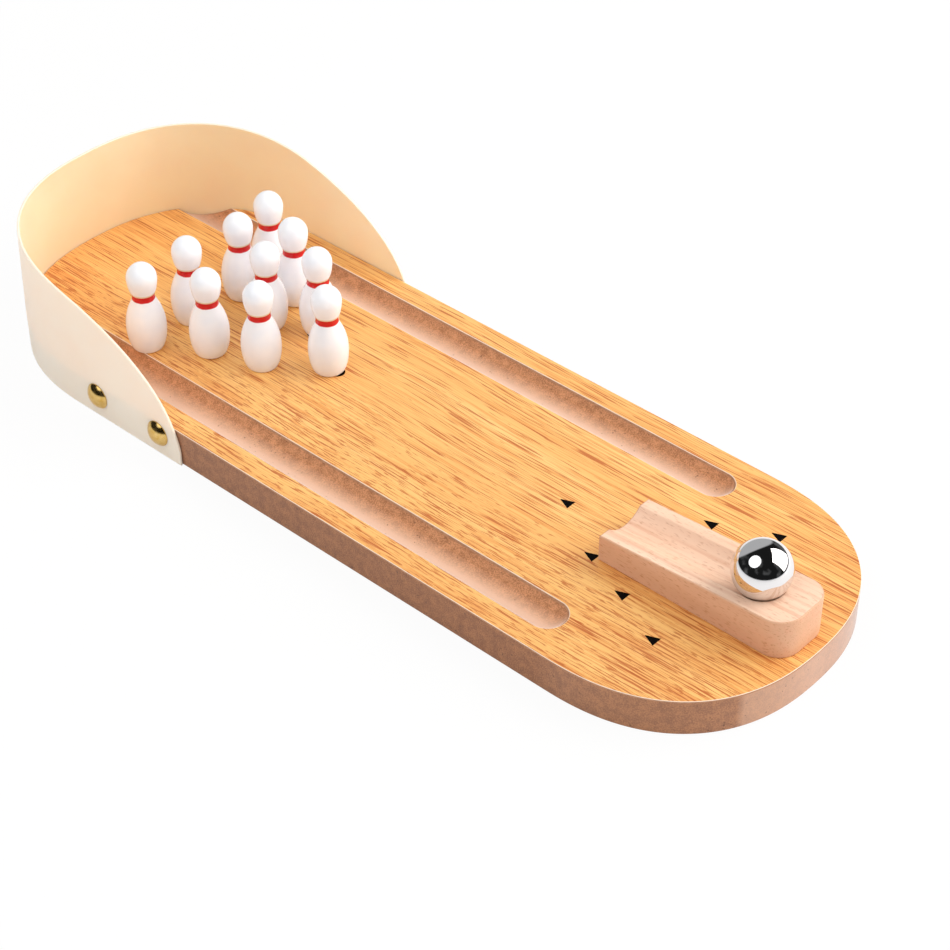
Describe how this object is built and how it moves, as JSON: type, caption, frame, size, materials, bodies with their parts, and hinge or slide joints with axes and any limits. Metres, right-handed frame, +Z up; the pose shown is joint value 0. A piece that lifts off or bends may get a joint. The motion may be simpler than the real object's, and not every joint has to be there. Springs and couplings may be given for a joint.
{
  "type": "tabletop bowling game",
  "caption": "Small wooden tabletop bowling lane with side gutters, turned pins, a bent end fence, a loose grooved launch ramp and a steel ball.",
  "frame": {"origin": "on the table under the middle of the whole game", "axes": "+Y along the lane from the player's end to the fence, +X to the player's right, +Z up"},
  "size_m": [0.1074, 0.291, 0.0453],
  "materials": {
    "mdf": "raw fibreboard, cut edges and routed gutters, brown and speckled",
    "oak_laminate": "thin printed oak laminate, golden, satin, grain along the lane",
    "ivory_sheet": "thin bent sheet, plain ivory, satin",
    "brass": "polished dome tack heads",
    "painted_wood": "turned wood, gloss white paint with a red band round the neck",
    "beech": "sanded pale beech, unfinished",
    "chrome_steel": "mirror polished bearing steel"
  },
  "bodies": {
    "board": {"base_board": "mdf", "top_veneer": "oak_laminate", "back_fence": "ivory_sheet", "tack_left_front": "brass", "tack_left_rear": "brass", "tack_right_front": "brass", "tack_right_rear": "brass"},
    "ramp": {"launch_ramp": "beech"},
    "ball": {"steel_ball": "chrome_steel"},
    "pin_01": {"pin_01": "painted_wood"},
    "pin_02": {"pin_02": "painted_wood"},
    "pin_03": {"pin_03": "painted_wood"},
    "pin_04": {"pin_04": "painted_wood"},
    "pin_05": {"pin_05": "painted_wood"},
    "pin_06": {"pin_06": "painted_wood"},
    "pin_07": {"pin_07": "painted_wood"},
    "pin_08": {"pin_08": "painted_wood"},
    "pin_09": {"pin_09": "painted_wood"},
    "pin_10": {"pin_10": "painted_wood"}
  },
  "joints": [
    {"name": "ramp_aim", "type": "hinge", "parent": "board", "child": "ramp", "pos_m": [-0.0004, -0.1106, 0.0123], "axis": [0, 0, 1], "range_deg": [-15, 15]},
    {"name": "ball_roll", "type": "slide", "parent": "ramp", "child": "ball", "axis": [0, 0.9979, -0.0655], "range_m": [0, 0.0465]},
    {"name": "pin_01_lift", "type": "slide", "parent": "board", "child": "pin_01", "axis": [0, 0, 1], "range_m": [0, 0.045]},
    {"name": "pin_02_lift", "type": "slide", "parent": "board", "child": "pin_02", "axis": [0, 0, 1], "range_m": [0, 0.045]},
    {"name": "pin_03_lift", "type": "slide", "parent": "board", "child": "pin_03", "axis": [0, 0, 1], "range_m": [0, 0.045]},
    {"name": "pin_04_lift", "type": "slide", "parent": "board", "child": "pin_04", "axis": [0, 0, 1], "range_m": [0, 0.045]},
    {"name": "pin_05_lift", "type": "slide", "parent": "board", "child": "pin_05", "axis": [0, 0, 1], "range_m": [0, 0.045]},
    {"name": "pin_06_lift", "type": "slide", "parent": "board", "child": "pin_06", "axis": [0, 0, 1], "range_m": [0, 0.045]},
    {"name": "pin_07_lift", "type": "slide", "parent": "board", "child": "pin_07", "axis": [0, 0, 1], "range_m": [0, 0.045]},
    {"name": "pin_08_lift", "type": "slide", "parent": "board", "child": "pin_08", "axis": [0, 0, 1], "range_m": [0, 0.045]},
    {"name": "pin_09_lift", "type": "slide", "parent": "board", "child": "pin_09", "axis": [0, 0, 1], "range_m": [0, 0.045]},
    {"name": "pin_10_lift", "type": "slide", "parent": "board", "child": "pin_10", "axis": [0, 0, 1], "range_m": [0, 0.045]}
  ]
}
